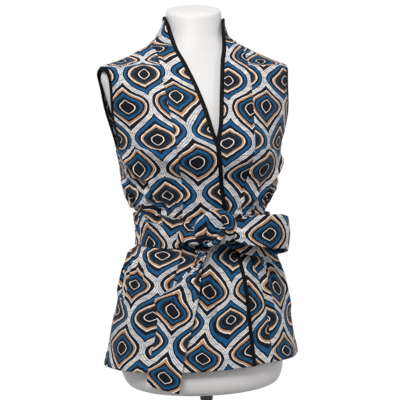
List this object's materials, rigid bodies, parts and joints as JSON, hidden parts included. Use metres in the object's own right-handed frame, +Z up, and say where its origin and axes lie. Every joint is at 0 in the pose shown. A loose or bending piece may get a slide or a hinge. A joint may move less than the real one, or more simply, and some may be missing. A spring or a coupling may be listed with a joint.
{
  "type": "sleeveless jacket on a dress form",
  "caption": "Sleeveless wrap jacket with grown-on stand collar, dark bound edges and a tie belt in a half bow, worn by a limbless dress form on a pole stand.",
  "frame": {"origin": "centre of the underside of the stand's round base, on the floor", "axes": "+Z up along the pole, -Y is the garment's front, +X is the wearer's left"},
  "size_m": [0.3846, 0.3, 0.9472],
  "materials": {
    "printed_cloth": "smooth printed weave",
    "black_binding": "matt satin",
    "form_white": "soft gloss",
    "stand_black": "gloss black"
  },
  "bodies": {
    "root": {"back_panel": "printed_cloth", "front_right_side": "printed_cloth", "front_right_center": "printed_cloth", "front_left_side": "printed_cloth", "front_left_center": "printed_cloth", "binding_front_right": "black_binding", "binding_front_left": "black_binding", "binding_armhole_right": "black_binding", "binding_armhole_left": "black_binding", "belt_band": "printed_cloth", "belt_knot": "printed_cloth", "belt_loop": "printed_cloth", "belt_tail": "printed_cloth", "form_torso": "form_white", "stand_socket": "stand_black", "stand_pole": "stand_black", "stand_base": "stand_black"}
  },
  "joints": []
}
